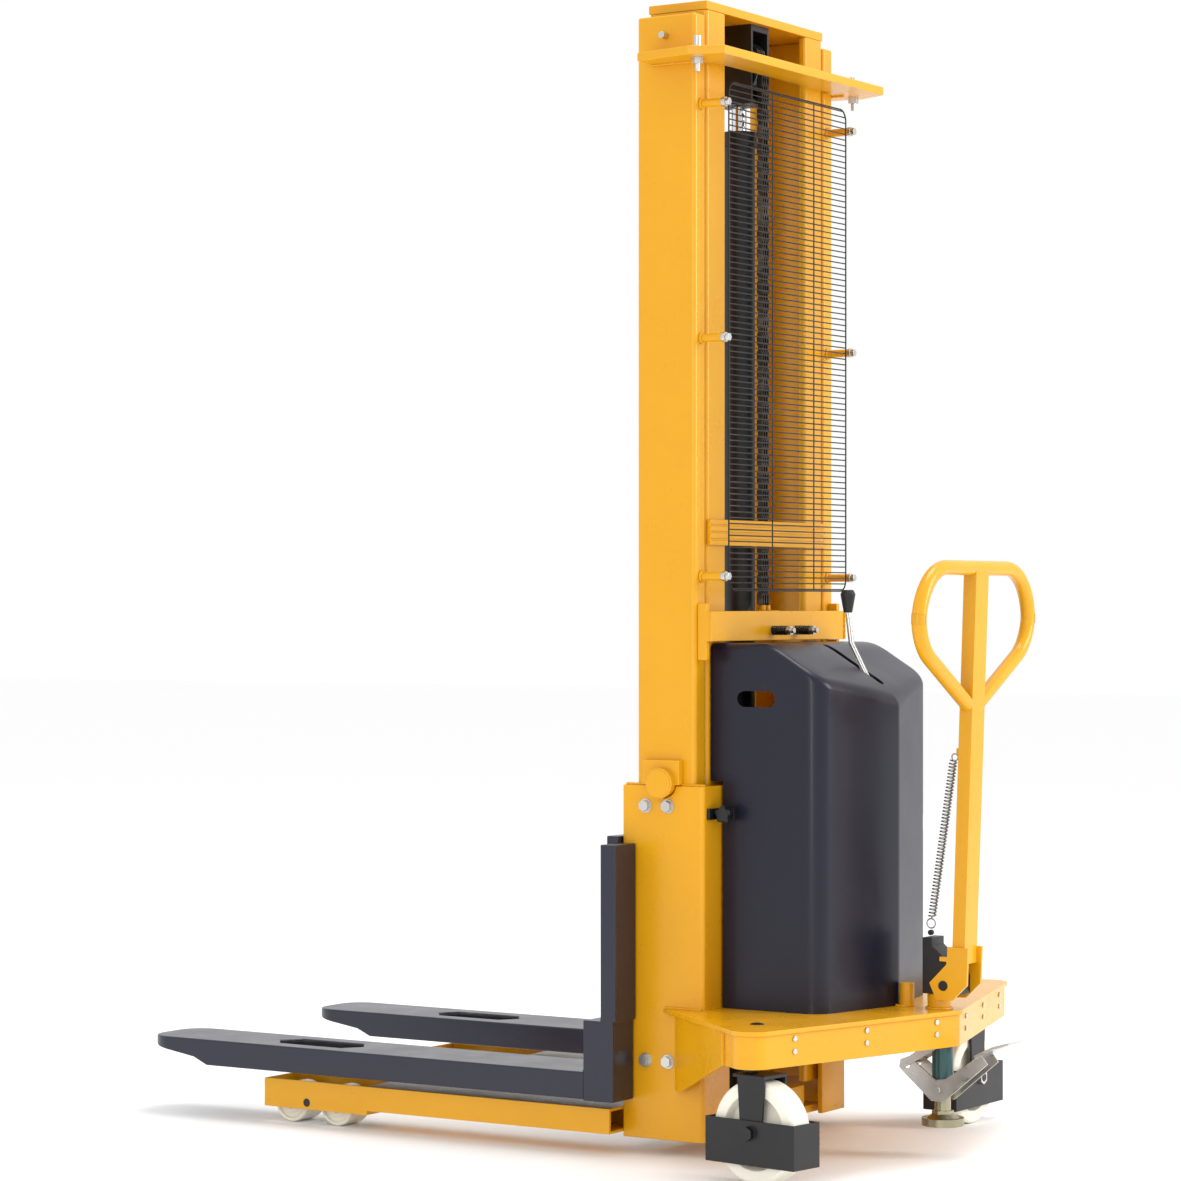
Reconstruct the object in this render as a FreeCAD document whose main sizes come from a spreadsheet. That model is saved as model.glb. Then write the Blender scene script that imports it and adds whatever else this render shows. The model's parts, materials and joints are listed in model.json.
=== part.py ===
import FreeCAD, Part
import os
import math
import Sketcher

# Walkie stacker: a two-stage fork mast on a small wheeled base with two
# straddle legs, a tow handle, a floor lock and a hydraulic lift.
# +Y points to the fork tips, +X to the right-hand side, +Z up; the origin is
# on the floor under the middle of the overall box.  Lengths in millimetres.

os.makedirs("parts", exist_ok=True)
doc = FreeCAD.newDocument("walkie_stacker")
sheet = doc.addObject("Spreadsheet::Sheet", "Dimensions")
V3 = FreeCAD.Vector


class E:
    """A length with the spreadsheet expression that drives it."""

    def __init__(self, value, text=None):
        self.v = float(value)
        self.t = text if text is not None else repr(float(value))

    @staticmethod
    def of(x):
        return x if isinstance(x, E) else E(x)

    def __add__(self, o):
        o = E.of(o)
        return E(self.v + o.v, "(%s + %s)" % (self.t, o.t))

    def __radd__(self, o):
        return E.of(o) + self

    def __sub__(self, o):
        o = E.of(o)
        return E(self.v - o.v, "(%s - %s)" % (self.t, o.t))

    def __rsub__(self, o):
        return E.of(o) - self

    def __mul__(self, o):
        o = E.of(o)
        return E(self.v * o.v, "(%s * %s)" % (self.t, o.t))

    def __rmul__(self, o):
        return E.of(o) * self

    def __truediv__(self, o):
        o = E.of(o)
        return E(self.v / o.v, "(%s / %s)" % (self.t, o.t))

    def __neg__(self):
        return E(-self.v, "(0 - %s)" % self.t)


_row = [0]


def dim(name, value):
    _row[0] += 1
    r = _row[0]
    sheet.set("A%d" % r, name)
    sheet.set("B%d" % r, str(value))
    sheet.setAlias("B%d" % r, name)
    return E(value, "Dimensions.%s" % name)


# ---------------------------------------------------------------- dimensions
yoff = dim("centre_shift_y", 28)            # moves the whole machine so its box is centred

mast_top = dim("mast_top", 2072)
mast_foot = dim("mast_foot", 30)
mast_out = dim("mast_half_width", 260)
mast_flange = dim("mast_flange_depth", 38)
mast_web = dim("mast_web", 10)
mast_ft = dim("mast_flange_thickness", 16)
mast_rear = dim("mast_rear", 377)
mast_front = dim("mast_front", 253)
inner_out = dim("inner_half_width", 218)
inner_in = dim("inner_inside_half_width", 150)
inner_foot = dim("inner_foot", 90)
inner_top = dim("inner_top", 2084)
head_top = dim("head_top", 2100)
sp_t = dim("side_plate_thickness", 10)
sp_top = dim("side_plate_top", 672)
sp_bot = dim("side_plate_foot", 29)
sp_flange = dim("side_plate_flange_inner", 175)
plate_top = dim("base_plate_top", 268)
plate_t = dim("base_plate_thickness", 8)
skirt_bot = dim("skirt_foot", 202)
skirt_in = dim("skirt_inset", 5)
skirt_t = dim("skirt_thickness", 6)
corner_x = dim("base_corner_x", 525.8)
corner_y = dim("base_corner_y", 631.5)
corner_r = dim("base_corner_radius", 42)
apex_y = dim("base_apex_y", 784)
tie_z = dim("tie_plate_z", 1984)
tie_t = dim("tie_plate_thickness", 16)
leg_in = dim("leg_inside_x", 213)
leg_out = dim("leg_outside_x", 318)
leg_bot = dim("leg_foot", 38)
leg_top = dim("leg_top", 84)
leg_wall = dim("leg_wall", 6)
hous_y0 = dim("wheel_housing_rear", 315)
hous_y1 = dim("wheel_housing_front", 560)
hous_z0 = dim("wheel_housing_foot", 30)
hous_z1 = dim("wheel_housing_top", 84)
bogie_y = dim("bogie_pivot_y", 458)
bogie_z = dim("bogie_pivot_z", 43)
load_r = dim("load_wheel_radius", 38)
load_pitch = dim("load_wheel_pitch", 108)
load_w = dim("load_wheel_width", 62)
fork_in = dim("fork_inside_x", 193)
fork_out = dim("fork_outside_x", 345)
fork_top = dim("fork_top_z", 152)
fork_bot = dim("fork_bottom_z", 102)
fork_tip = dim("fork_tip_y", 833)
fork_wall = dim("fork_wall", 6)
heel_top = dim("heel_top_z", 246)
upright_top = dim("upright_top_z", 566)
caster_x = dim("caster_x", 428)
caster_xr = dim("caster_x_right", 421)
caster_y = dim("caster_y", 590)
cst_x = {-1: E(-1) * caster_x, 1: caster_xr}
caster_r = dim("caster_wheel_radius", 90)
caster_w = dim("caster_wheel_width", 50)
caster_trail = dim("caster_trail", 25)
guard_w = dim("caster_guard_width", 72)
guard_l = dim("caster_guard_length", 196)
guard_z0 = dim("caster_guard_foot", 34)
guard_z1 = dim("caster_guard_top", 112)
cyl_r = dim("cylinder_radius", 30)
cyl_y = dim("cylinder_y", 318)
rod_r = dim("piston_rod_radius", 14)
pulley_r = dim("chain_pulley_radius", 45)
pulley_z = dim("chain_pulley_z", 2005)
roller_r = dim("mast_roller_radius", 45.7)
mesh_y = dim("wire_guard_y", 424)
mesh_x = dim("wire_guard_half_width", 224)
mesh_z0 = dim("wire_guard_foot", 1025)
mesh_z1 = dim("wire_guard_top", 1949)
mesh_n = dim("wire_guard_gaps", 85)
wire = dim("wire_thickness", 3)
cover_x = dim("cover_half_width", 208)
cover_wall = dim("cover_wall", 4)
pin_y = dim("handle_pin_y", 761)
pin_z = dim("handle_pin_z", 313)
pin_r = dim("handle_pin_radius", 9)
post_w = dim("handle_post_width", 50)
post_d = dim("handle_post_depth", 25)
loop_x = dim("handle_loop_half_width", 221)
loop_top = dim("handle_loop_top", 1068)
loop_low = dim("handle_loop_shoulder", 932)
loop_v = dim("handle_loop_bottom", 811)
loop_tube = dim("handle_tube_radius", 13.5)
lock_y = dim("floor_lock_y", 745)
lock_rod = dim("floor_lock_rod_radius", 14.5)
lock_tube_r = dim("floor_lock_tube_radius", 19.5)
doc.recompute()

# ------------------------------------------------------------------- helpers
SUB = []          # finished sub-parts, in order


def bind(obj, prop, e):
    e = E.of(e)
    if "Dimensions" in e.t:
        obj.setExpression(prop, e.t)


def place(obj, x=0, y=0, z=0, axis=None, angle=0):
    x, y, z = E.of(x), E.of(y), E.of(z)
    rot = FreeCAD.Rotation(V3(*axis), angle) if axis else FreeCAD.Rotation()
    obj.Placement = FreeCAD.Placement(V3(x.v, y.v, z.v), rot)
    bind(obj, "Placement.Base.x", x)
    bind(obj, "Placement.Base.y", y)
    bind(obj, "Placement.Base.z", z)
    return obj


_k = [0]


def tmp(prefix):
    _k[0] += 1
    return "%s_%03d" % (prefix, _k[0])


def box(x0, x1, y0, y1, z0, z1):
    o = doc.addObject("Part::Box", tmp("box"))
    for p, e in (("Length", E.of(x1) - x0), ("Width", E.of(y1) - y0), ("Height", E.of(z1) - z0)):
        setattr(o, p, e.v)
        bind(o, p, e)
    return place(o, x0, y0, z0)


AXIS = {"z": (None, 0), "x": ((0, 1, 0), 90), "y": ((1, 0, 0), -90)}


def cyl(axis, x, y, z, r, length):
    """Cylinder starting at x, y, z and running along +axis."""
    o = doc.addObject("Part::Cylinder", tmp("cyl"))
    r, length = E.of(r), E.of(length)
    o.Radius, o.Height = r.v, length.v
    bind(o, "Radius", r)
    bind(o, "Height", length)
    return place(o, x, y, z, *AXIS[axis])


def cone(axis, x, y, z, r1, r2, length):
    o = doc.addObject("Part::Cone", tmp("cone"))
    r1, r2, length = E.of(r1), E.of(r2), E.of(length)
    o.Radius1, o.Radius2, o.Height = r1.v, r2.v, length.v
    bind(o, "Radius1", r1)
    bind(o, "Radius2", r2)
    bind(o, "Height", length)
    return place(o, x, y, z, *AXIS[axis])


def hexa(axis, x, y, z, r, length):
    o = doc.addObject("Part::Prism", tmp("hex"))
    o.Polygon = 6
    o.Circumradius, o.Height = E.of(r).v, E.of(length).v
    bind(o, "Circumradius", r)
    bind(o, "Height", length)
    return place(o, x, y, z, *AXIS[axis])


def torus(axis, x, y, z, R, r):
    o = doc.addObject("Part::Torus", tmp("torus"))
    o.Radius1, o.Radius2 = E.of(R).v, E.of(r).v
    bind(o, "Radius1", R)
    bind(o, "Radius2", r)
    return place(o, x, y, z, *AXIS[axis])


def fuse(*parts):
    o = doc.addObject("Part::MultiFuse", tmp("fuse"))
    o.Shapes = list(parts)
    o.Refine = True
    return o


def cut(base, *tools):
    o = doc.addObject("Part::Cut", tmp("cut"))
    o.Base = base
    o.Tool = tools[0] if len(tools) == 1 else fuse(*tools)
    return o


def common(a, b):
    o = doc.addObject("Part::Common", tmp("common"))
    o.Base, o.Tool = a, b
    return o


def group(*parts):
    o = doc.addObject("Part::Compound", tmp("group"))
    o.Links = list(parts)
    return o


def round_edges(obj, r, pick):
    """Part::Fillet on the edges of obj that pick() accepts."""
    doc.recompute()
    ids = [i + 1 for i, e in enumerate(obj.Shape.Edges) if pick(e)]
    if not ids:
        raise SystemExit("no edge to round on %s" % obj.Name)
    o = doc.addObject("Part::Fillet", tmp("fillet"))
    o.Base = obj
    o.Edges = [(i, E.of(r).v, E.of(r).v) for i in ids]
    return o


def sketch(body, plane, name):
    sk = body.newObject("Sketcher::SketchObject", name)
    sup = [f for f in body.Origin.OriginFeatures if f.Role == plane][0]
    sk.AttachmentSupport = [(sup, "")]
    sk.MapMode = "FlatFace"
    return sk


def outline(sk, pts):
    """Closed polygon whose corners are pinned to the driving dimensions."""
    n = len(pts)
    pts = [(E.of(a), E.of(b)) for a, b in pts]
    g0 = sk.GeometryCount
    for i in range(n):
        a, b = pts[i], pts[(i + 1) % n]
        sk.addGeometry(Part.LineSegment(V3(a[0].v, a[1].v, 0), V3(b[0].v, b[1].v, 0)), False)
    for i in range(n):
        sk.addConstraint(Sketcher.Constraint("Coincident", g0 + i, 2, g0 + (i + 1) % n, 1))
    for i, (a, b) in enumerate(pts):
        for kind, e in (("DistanceX", a), ("DistanceY", b)):
            if abs(e.v) < 1e-9:
                sk.addConstraint(Sketcher.Constraint("PointOnObject", g0 + i, 1, -2 if kind == "DistanceX" else -1))
                continue
            c = sk.addConstraint(Sketcher.Constraint(kind, g0 + i, 1, e.v))
            if "Dimensions" in e.t:
                nm = "%s_%d_%d" % (kind[-1].lower(), g0, i)
                sk.renameConstraint(c, nm)
                sk.setExpression("Constraints." + nm, e.t)


def ring(sk, cx, cy, r):
    cx, cy, r = E.of(cx), E.of(cy), E.of(r)
    g = sk.addGeometry(Part.Circle(V3(cx.v, cy.v, 0), V3(0, 0, 1), r.v), False)
    c = sk.addConstraint(Sketcher.Constraint("Radius", g, r.v))
    sk.renameConstraint(c, "r_%d" % g)
    if "Dimensions" in r.t:
        sk.setExpression("Constraints.r_%d" % g, r.t)
    for kind, e in (("DistanceX", cx), ("DistanceY", cy)):
        if abs(e.v) < 1e-9:
            sk.addConstraint(Sketcher.Constraint("PointOnObject", g, 3, -2 if kind == "DistanceX" else -1))
            continue
        c = sk.addConstraint(Sketcher.Constraint(kind, g, 3, e.v))
        if "Dimensions" in e.t:
            nm = "%s_c_%d" % (kind[-1].lower(), g)
            sk.renameConstraint(c, nm)
            sk.setExpression("Constraints." + nm, e.t)


# a pad grows along the plane's own normal: +Z on XY, -Y on XZ, +X on YZ
def prism(plane, pts, lo, hi, rounds=(), holes=(), inner=()):
    """PartDesign body: an outline padded from lo to hi along its plane's axis.
    rounds: (radius, [corner indices]) rounds the edges that run through them."""
    lo, hi = E.of(lo), E.of(hi)
    body = doc.addObject("PartDesign::Body", tmp("body"))
    sk = sketch(body, plane, tmp("sk"))
    outline(sk, pts)
    for loop in inner:
        outline(sk, loop)
    for h in holes:
        ring(sk, *h)
    off = -hi if plane == "XZ_Plane" else lo
    sk.AttachmentOffset = FreeCAD.Placement(V3(0, 0, off.v), FreeCAD.Rotation())
    if "Dimensions" in off.t:
        sk.setExpression("AttachmentOffset.Base.z", off.t)
    pad = body.newObject("PartDesign::Pad", tmp("pad"))
    pad.Profile = sk
    pad.Length = (hi - lo).v
    bind(pad, "Length", hi - lo)
    sk.Visibility = False
    last = pad
    for r, idx in rounds:
        doc.recompute()
        want = [(E.of(pts[i][0]).v, E.of(pts[i][1]).v) for i in idx]
        names = []
        for n, e in enumerate(last.Shape.Edges):
            if len(e.Vertexes) != 2:
                continue
            a, b = e.Vertexes[0].Point, e.Vertexes[1].Point
            d = b - a
            if plane == "XY_Plane":
                ok, q = abs(d.x) + abs(d.y) < 1e-4, (a.x, a.y)
            elif plane == "XZ_Plane":
                ok, q = abs(d.x) + abs(d.z) < 1e-4, (a.x, a.z)
            else:
                ok, q = abs(d.y) + abs(d.z) < 1e-4, (a.y, a.z)
            if ok and any(abs(q[0] - w[0]) + abs(q[1] - w[1]) < 1e-2 for w in want):
                names.append("Edge%d" % (n + 1))
        if len(names) != len(idx):
            raise SystemExit("%s: wanted %d edges, found %d" % (body.Name, len(idx), len(names)))
        f = body.newObject("PartDesign::Fillet", tmp("fil"))
        f.Base = (last, names)
        f.Radius = E.of(r).v
        bind(f, "Radius", r)
        last = f
    body.Tip = last
    return body


def lathe(profile, x=0, y=0, z=0, axis=None, angle=0):
    """PartDesign body: profile points (radius, height) turned about local Z."""
    body = doc.addObject("PartDesign::Body", tmp("turned"))
    sk = sketch(body, "XZ_Plane", tmp("sk"))
    outline(sk, profile)
    rev = body.newObject("PartDesign::Revolution", tmp("rev"))
    rev.Profile = sk
    rev.ReferenceAxis = (sk, ["V_Axis"])
    rev.Angle = 360
    body.Tip = rev
    place(body, x, y, z, axis, angle)
    return body


def scripted(shape):
    o = doc.addObject("Part::Feature", tmp("shape"))
    o.Shape = shape
    return o


def sub(label, obj, x=0, y=0, z=0, axis=None, angle=0, keep=False):
    """Names a finished sub-part and moves it by the centring shift."""
    obj.Label = label
    if keep:
        base = obj.Placement.Base
        rot = obj.Placement.Rotation
        obj.Placement = FreeCAD.Placement(V3(base.x, base.y + yoff.v, base.z), rot)
        ex = dict((p, t) for p, t in obj.ExpressionEngine)
        t = ex.get("Placement.Base.y", ex.get(".Placement.Base.y", repr(base.y)))
        obj.setExpression("Placement.Base.y", "%s + Dimensions.centre_shift_y" % t)
    else:
        place(obj, x, E.of(y) + yoff, z, axis, angle)
    SUB.append((label, obj))
    return obj


def mirrored(pts):
    return [(-E.of(a), b) for a, b in reversed(pts)]


XY, XZ, YZ = "XY_Plane", "XZ_Plane", "YZ_Plane"

# =============================================================== outer mast
def channel(out, inn, web, rear, front, ft, z0, z1, side):
    """C channel opening towards the machine's middle."""
    p = [(-out, -rear), (-inn, -rear), (-inn, -rear + ft), (-out + web, -rear + ft),
         (-out + web, -front - ft), (-inn, -front - ft), (-inn, -front), (-out, -front)]
    r1 = [(9, [0, 7]), (6, [1, 2, 5, 6])]
    if side > 0:
        p = mirrored(p)
        r1 = [(9, [7, 0]), (6, [6, 5, 2, 1])]
    return prism(XY, p, z0, z1, rounds=r1)


outer_in = mast_out - mast_flange
sub("outer_mast_channels", group(
    channel(mast_out, outer_in, mast_web, mast_rear, mast_front, mast_ft, mast_foot, mast_top, -1),
    channel(mast_out, outer_in, mast_web, mast_rear, mast_front, mast_ft, mast_foot, mast_top, 1)))

# bottom cross member: floor plate between the channels and a short beam on it
foot_top = mast_foot + 14
sub("mast_cross_member", fuse(
    box(-outer_in, outer_in, -mast_rear, -mast_front, mast_foot, foot_top),
    box(-146, 146, -mast_rear, -349, foot_top, 85)))

# side plates wrap the mast feet: flat cheek plus a rear flange turned inwards
sp_out = mast_out + sp_t
side_pts = [(-sp_out, -400), (-sp_flange, -400), (-sp_flange, -390), (-mast_out, -390), (-mast_out, -230), (-sp_out, -230)]
def side_plate(s):
    p = side_pts if s < 0 else mirrored(side_pts)
    b = prism(XY, p, sp_bot, sp_top, rounds=[(8, [0 if s < 0 else 5])])
    return cut(b, cyl("x", -300 if s < 0 else 200, -316, 677, 27, 100))
sub("side_plates", group(side_plate(-1), side_plate(1)))

# lugs above the side plates, with a round boss sitting in the side plate notch,
# and the stand-off tubes that carry the wire guard
def lug(s):
    m = box(-(mast_out + 15), -mast_out, -352, -273, sp_top + 2, 719) if s < 0 else box(mast_out, mast_out + 15, -352, -273, sp_top + 2, 719)
    b = cyl("x", -(mast_out + 30) if s < 0 else mast_out, -316, 677, 25, 30)
    return fuse(m, b)
stand_z = (1052, 1484, 1909)
stands = [cyl("y", s * 238, -(mesh_y - 2), z, 7.5, mesh_y - 2 - mast_rear) for s in (-1, 1) for z in stand_z]
sub("mast_brackets", group(lug(-1), lug(1), *stands))

# ----------------------------------------------------------------- tie plate
tie_pts = [(-303, -465), (303, -465), (331, -403), (309, -284), (mast_out, -284), (mast_out, -mast_rear), (outer_in, -mast_rear),
           (outer_in, -392), (-outer_in, -392), (-outer_in, -mast_rear), (-mast_out, -mast_rear), (-mast_out, -284), (-309, -284), (-331, -403)]
sub("top_tie_plate", prism(XY, tie_pts, tie_z, tie_z + tie_t, rounds=[(4, [0, 1])]))

# ---------------------------------------------------------------- wire guard
def wire_guard_shape():
    """Flat welded grid: border, two inner uprights and many cross wires."""
    w = wire.v
    x0, x1, z0, z1 = -mesh_x.v, mesh_x.v, mesh_z0.v, mesh_z1.v
    n = int(mesh_n.v)
    y = -mesh_y.v
    def rect(a0, a1, b0, b1):
        return Part.makePolygon([V3(a0, y, b0), V3(a1, y, b0), V3(a1, y, b1), V3(a0, y, b1), V3(a0, y, b0)])
    outer = rect(x0, x1, z0, z1)
    xs = [x0 + 1.6 * w, -62, 96, x1 - 1.6 * w]
    step = (z1 - z0 - 2 * w) / n
    holes = []
    for i in range(n):
        for k in range(3):
            a0 = xs[k] + (w / 2 if k else 0)
            a1 = xs[k + 1] - (w / 2 if k < 2 else 0)
            holes.append(rect(a0, a1, z0 + w + i * step + (w / 2 if i else w / 2), z0 + w + (i + 1) * step - w / 2))
    face = Part.makeFace([outer] + holes, "Part::FaceMakerBullseye")
    return face.extrude(V3(0, -w, 0))
sub("wire_guard", scripted(wire_guard_shape()))

# clamps: a black washer and a zinc hexagon bolt at every stand-off
gb = []
for s in (-1, 1):
    for z in stand_z:
        gb.append(cyl("y", s * 238, -(mesh_y + 6), z, 9, 8))
        gb.append(hexa("y", s * 238, -(mesh_y + 13), z, 7.5, 7))
sub("guard_clamp_bolts", group(*gb))

# --------------------------------------------------------------- cross plate
tabs = [box(s * 246 - 6, s * 246 + 6, -396, -mast_rear, 900, 1003) for s in (-1, 1)]
sub("rear_cross_plate", fuse(box(-252, 252, -406, -396, 934, 989), *tabs))
sub("chain_anchor", group(
    box(-17, 17, -396, -370, 962, 990),
    cyl("z", -9, -376, 990, 4, 10), cyl("z", 9, -376, 990, 4, 10)))

# all plain hexagon fasteners of the frame, each a separate solid
fb = []
for s in (-1, 1):
    for y in (-279, -326):
        for z in (635, 172):
            xf = sp_out if s > 0 else -(sp_out + 11)
            fb.append(fuse(cyl("x", sp_out if s > 0 else -(sp_out + 2), y, z, 13, 2), hexa("x", sp_out + 2 if s > 0 else xf, y, z, 10.5, 9)))
    fb.append(fuse(hexa("z", s * 295, -403, tie_z - 12, 10, 12), cyl("z", s * 295, -403, tie_z - 26, 5, 14)))
    fb.append(cyl("z", s * 295, -403, tie_z + tie_t, 7, 22))
    fb.append(cyl("x", mast_out if s > 0 else -(mast_out + 18), -316, 2034, 6, 18))
for x in (-26, 62):
    fb.append(fuse(cyl("y", x, -452, 953, 5, 46), hexa("y", x, -446, 953, 9, 8)))
sub("frame_bolts", group(*fb))
sub("adjuster_springs", group(*[cut(cyl("y", x, -438, 953, 9, 32), cyl("y", x, -439, 953, 5.3, 34)) for x in (-26, 62)]))

# ================================================================ base plate
plate_pts = [(-sp_out, -316), (-corner_x, -corner_y), (0, -apex_y), (corner_x, -corner_y), (sp_out, -316), (sp_out, -400), (-sp_out, -400)]
plate = prism(XY, plate_pts, plate_top - plate_t, plate_top, rounds=[(corner_r, [1, 3]), (22, [2])], holes=[(-387, -579, 11), (387, -579, 11)])
sub("base_plate", plate)

# skirt: a bent strip under the plate's edge; the corner moves in along its bisector
def skirt_outline(d):
    cx, cy = corner_x - 1.7266 * d, corner_y - 0.5405 * d
    ay = apex_y - 1.0412 * d
    return cx, cy, ay
ox, oy, oa = skirt_outline(skirt_in)
ix, iy, ia = skirt_outline(skirt_in + skirt_t)
sz1 = plate_top - plate_t
solid_out = prism(XY, [(-ox + 160, -oy + 197.3), (-ox, -oy), (0, -oa), (ox, -oy), (ox - 160, -oy + 197.3)], skirt_bot, sz1, rounds=[(corner_r - 5, [1, 3]), (17, [2])])
solid_in = prism(XY, [(-ix + 165, -iy + 203.5), (-ix, -iy), (0, -ia), (ix, -iy), (ix - 165, -iy + 203.5)], skirt_bot - 5, sz1 + 5, rounds=[(corner_r - 11, [1, 3]), (11, [2])])
sub("base_skirt", cut(solid_out, solid_in, box(-600, 600, -555, -250, skirt_bot - 6, sz1 + 6)))

# rivets: pairs down the face of the skirt, at set distances from its apex
rv = []
nx, ny = 0.2785, 0.9604
for s in (-1, 1):
    for t in (61.0, 240.8, 418.8):
        px, py = 0.9604 * t, -apex_y + 5 * 1.0412 + 0.2785 * t
        for z in (228, 250):
            ang = 90.0 + (16.17 if s > 0 else -16.17)
            o = doc.addObject("Part::Cylinder", tmp("cyl"))
            o.Radius, o.Height = 5.0, 3.2
            d = V3(s * nx, -ny, 0)
            rot = FreeCAD.Rotation(V3(0, 0, 1), d)
            o.Placement = FreeCAD.Placement(V3(s * px, E.of(py).v, z), rot)
            bind(o, "Placement.Base.y", py)
            rv.append(o)
sub("skirt_rivets", group(*rv))

# gussets between the side plates and the ends of the skirt
gus = []
for s in (-1, 1):
    g = prism(XZ, [(0, 122), (25, 122), (279, skirt_bot), (279, plate_top - plate_t), (0, plate_top - plate_t)], -3, 3)
    a = 180 + 48.0 if s < 0 else -48.0
    place(g, s * (sp_out + 2.4), -345, 0, (0, 0, 1), a)
    gus.append(g)
sub("base_gussets", group(*gus))

# bosses: caster housings under the plate, handle pivot boss and stop post on it
bosses = [cut(cyl("z", cst_x[s], -caster_y, 218, 25, plate_top - plate_t - 218),
              cyl("z", cst_x[s], -caster_y, 210, 8.05, 46)) for s in (-1, 1)]
bosses.append(cyl("z", 0, -738, plate_top, 21.5, 28))
bosses.append(cyl("z", 0, -672, plate_top, 13.5, 43))
sub("pivot_bosses", group(*bosses))

# ============================================================ straddle legs
def leg(s):
    a, b = (-leg_out, -leg_in) if s < 0 else (leg_in, leg_out)
    c = E(s) * (leg_in + leg_out) / 2
    tube = cut(box(a, b, -230, hous_y0, leg_bot, leg_top), box(a + leg_wall, b - leg_wall, -231, hous_y0 - 6, leg_bot + 5, leg_top - 5))
    house = cut(box(a, b, hous_y0, hous_y1, hous_z0, hous_z1), box(a + leg_wall, b - leg_wall, hous_y0 + 5, hous_y1 - 5, hous_z0 - 1, hous_z1 + 1))
    return cut(fuse(tube, house), cyl("x", a - 1, bogie_y, bogie_z, 8.05, leg_out - leg_in + 2))
sub("straddle_legs", group(leg(-1), leg(1)))

def bogie(s):
    a = -leg_out if s < 0 else leg_in
    c = E(s) * (leg_in + leg_out) / 2
    parts = [cyl("x", a, bogie_y, bogie_z, 8, leg_out - leg_in)]
    for k in (-1, 1):
        x0 = c + k * (load_w / 2 + 4) - 3
        parts.append(prism(YZ, [(bogie_y - load_pitch / 2 - 12, 28), (bogie_y + load_pitch / 2 + 12, 28), (bogie_y + load_pitch / 2 + 12, 46), (bogie_y + 16, 58), (bogie_y - 16, 58), (bogie_y - load_pitch / 2 - 12, 46)], x0, x0 + 6))
        parts.append(cyl("x", c - load_w / 2 - 7, bogie_y + k * load_pitch / 2, load_r, 6, load_w + 14))
    return fuse(*parts)
sub("bogie_left", bogie(-1))
sub("bogie_right", bogie(1))

lw = load_w / 2
load_profile = [(6.05, -lw), (20, -lw), (22, -lw + 5), (30, -lw + 5), (32, -lw), (load_r - 3, -lw), (load_r, -lw + 3),
                (load_r, lw - 3), (load_r - 3, lw), (32, lw), (30, lw - 5), (22, lw - 5), (20, lw), (6.05, lw)]
for s, side in ((-1, "left"), (1, "right")):
    for k, end in ((-1, "rear"), (1, "front")):
        c = E(s) * (leg_in + leg_out) / 2
        sub("load_wheel_%s_%s" % (side, end), lathe(load_profile), c, bogie_y + k * load_pitch / 2, load_r, (0, 1, 0), 90)

# ================================================================== casters
def caster_fork():
    plate = box(-32, 32, -55, 15, 184, 190)
    legs = [prism(YZ, [(5, 184), (-55, 184), (-47, 66), (-3, 66)], x, x + 5) for x in (-32, 27)]
    stem = cyl("z", 0, 0, 189, 8, 66)
    collar = hexa("z", 0, 0, 190, 13, 9)
    gy0, gy1 = -caster_trail - guard_l / 2, -caster_trail + guard_l / 2
    guard = cut(box(-guard_w / 2, guard_w / 2, gy0, gy1, guard_z0, guard_z1), box(-guard_w / 2 + 4, guard_w / 2 - 4, gy0 + 4, gy1 - 4, guard_z0 - 1, guard_z1 + 1))
    axle = cyl("x", -37, -caster_trail, caster_r, 8, 83)
    head = hexa("x", -46, -caster_trail, caster_r, 13, 10)
    return fuse(plate, legs[0], legs[1], stem, collar, guard, axle, head)

cw = caster_w / 2
wheel_profile = [(8.05, -cw), (23, -cw), (27, -15), (60, -9), (66, -cw + 1), (84, -cw), (caster_r - 1.5, -cw + 3), (caster_r, -cw + 8),
                 (caster_r, cw - 8), (caster_r - 1.5, cw - 3), (84, cw), (66, cw - 1), (60, 9), (27, 15), (23, cw), (8.05, cw)]
for s, side, th in ((-1, "left", -9.0), (1, "right", -91.0)):
    r = math.radians(th)
    sn, cs = math.sin(r), math.cos(r)
    sub("caster_fork_%s" % side, caster_fork(), cst_x[s], -caster_y, 0, (0, 0, 1), th)
    nut = hexa("x", guard_w / 2, 0, 0, 14, 9)
    nut = cut(nut, cyl("x", guard_w / 2 - 1, 0, 0, 8, 12))
    sub("caster_nut_%s" % side, nut, cst_x[s] + caster_trail * sn, -caster_y - caster_trail * cs, caster_r, (0, 0, 1), th)
    w = lathe(wheel_profile)
    sub("caster_wheel_%s" % side, w, cst_x[s] + caster_trail * sn, -caster_y - caster_trail * cs, caster_r)
    w.Placement = FreeCAD.Placement(w.Placement.Base, FreeCAD.Rotation(V3(0, 0, 1), th).multiply(FreeCAD.Rotation(V3(0, 1, 0), 90)))

# =============================================================== inner mast
def inner_stub(s):
    return cyl("x", -mast_out + mast_web + 1 if s < 0 else inner_out, -315, 150, 10, mast_out - mast_web - 1 - inner_out)
inner_parts = []
for s in (-1, 1):
    inner_parts.append(fuse(channel(inner_out, inner_in, mast_web, mast_rear, mast_front, mast_ft, inner_foot, inner_top, s), inner_stub(s)))
sub("inner_mast_channels", group(*inner_parts))
sub("inner_mast_head", group(fuse(
    box(-inner_out, inner_out, -mast_rear, -mast_front, inner_top, head_top),
    cut(box(-inner_in, inner_in, -mast_front - 12, -mast_front, 1975, inner_top), box(-40, 40, -270, -250, 1970, 2072))),
    cut(box(-inner_out, inner_out, -mast_rear - 8, -mast_rear, 1109, 1156), *[box(-230, 230, -mast_rear - 9, -mast_rear - 5.5, z, z + 3.5) for z in (1118, 1131, 1144)])))

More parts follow.
